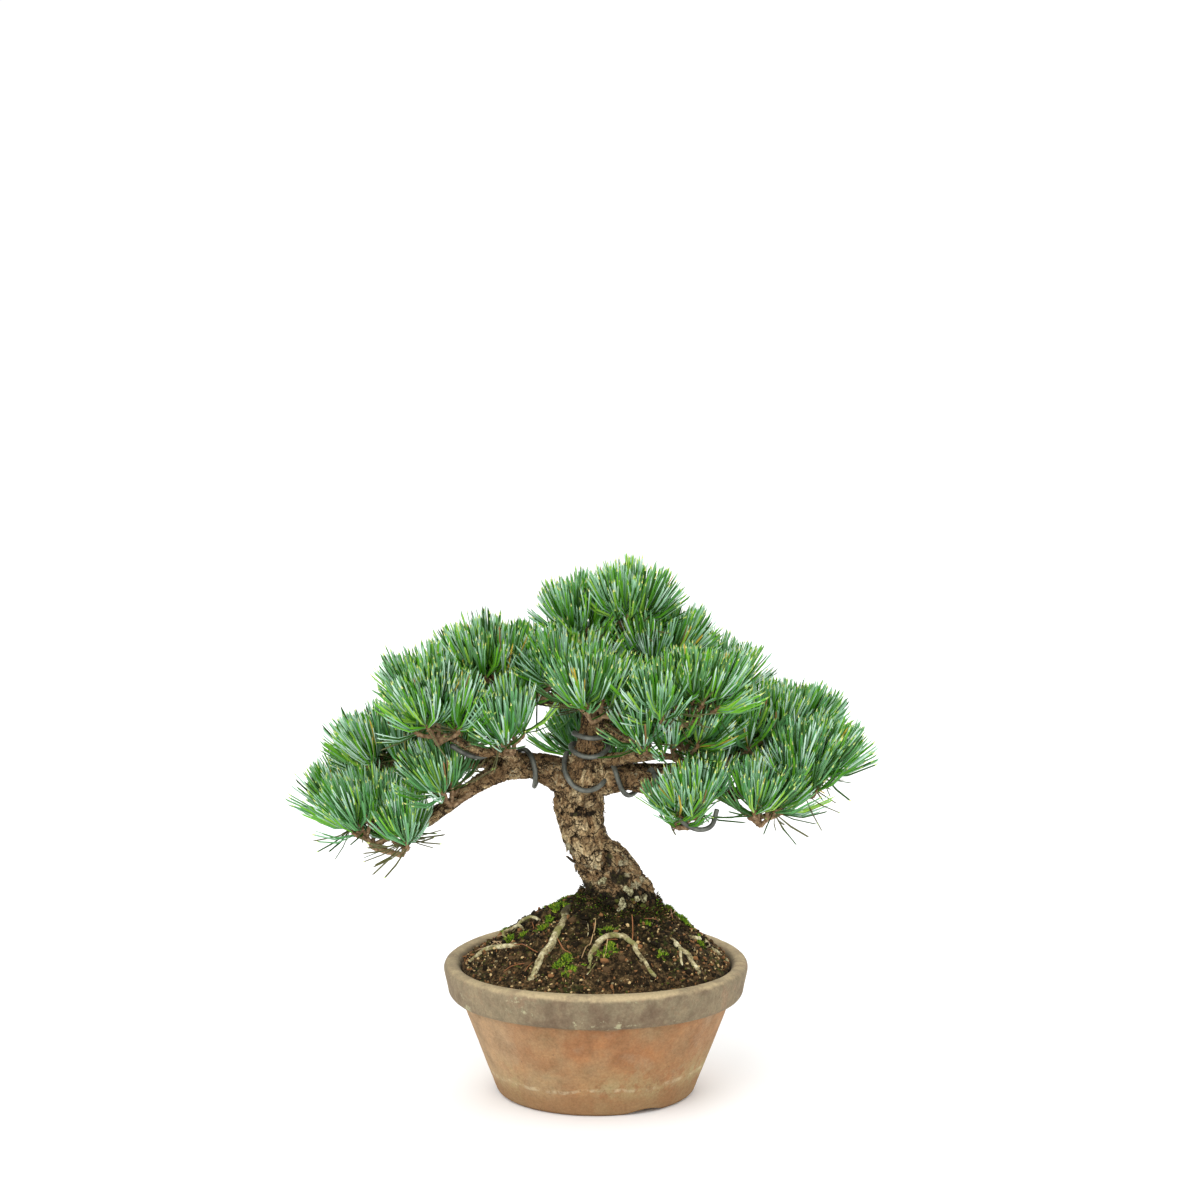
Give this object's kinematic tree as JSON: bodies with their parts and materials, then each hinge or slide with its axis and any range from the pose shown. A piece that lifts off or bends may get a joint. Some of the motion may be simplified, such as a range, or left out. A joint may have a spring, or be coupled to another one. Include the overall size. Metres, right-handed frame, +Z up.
{
  "type": "potted japanese white pine bonsai",
  "caption": "Dwarf white pine with a leaning flared trunk, wired boughs and clouds of short blue-green needles, rooted in a soil mound in a round unglazed clay pot.",
  "frame": {"origin": "middle of the whole plant's outline seen from above, on the ground that the pot stands on", "axes": "+X to the right as the tree is shown, along the crown's longest reach; +Y away from the viewer; +Z up"},
  "size_m": [0.3538, 0.2082, 0.3264],
  "materials": {
    "clay": "matt unglazed terracotta, weathered grey-brown on the rim band, with pale lime bloom",
    "soil": "rough dark crumbs with red-brown and tan grains and patches of moss",
    "root": "dull pale root bark",
    "bark": "rough flaking grey-brown bark with dark fissures",
    "wire": "satin dark grey",
    "needles": "slightly waxy green, blue-white lines on the inner sides"
  },
  "bodies": {
    "root": {"pot": "clay", "soil": "soil", "root_front_arch": "root", "root_left": "root", "root_left_long": "root", "root_right": "root", "root_right_front": "root", "trunk": "bark", "bough_apex_right": "bark", "bough_back": "bark", "bough_back_left": "bark", "bough_back_low": "bark", "bough_front": "bark", "bough_left": "bark", "bough_left_back": "bark", "bough_left_high": "bark", "bough_left_mid": "bark", "bough_left_rear": "bark", "bough_left_shelf": "bark", "bough_right": "bark", "bough_right_back": "bark", "bough_right_front": "bark", "bough_right_high_back": "bark", "bough_right_low": "bark", "bough_right_outer": "bark", "bough_right_shelf": "bark", "bough_right_upper": "bark", "wire_fork": "wire", "wire_leader": "wire", "wire_left": "wire", "wire_left_shelf": "wire", "wire_right": "wire", "wire_right_low": "wire", "needles_apex": "needles", "needles_apex_left": "needles", "needles_apex_right": "needles", "needles_back": "needles", "needles_back_left": "needles", "needles_back_low": "needles", "needles_centre_high": "needles", "needles_centre_low": "needles", "needles_front": "needles", "needles_left_back": "needles", "needles_left_high": "needles", "needles_left_inner": "needles", "needles_left_mid": "needles", "needles_left_rear": "needles", "needles_left_shelf": "needles", "needles_left_shelf_inner": "needles", "needles_left_tip": "needles", "needles_right_back": "needles", "needles_right_front": "needles", "needles_right_high_back": "needles", "needles_right_low": "needles", "needles_right_outer": "needles", "needles_right_shelf": "needles", "needles_right_tip": "needles", "needles_right_upper": "needles"}
  },
  "joints": []
}
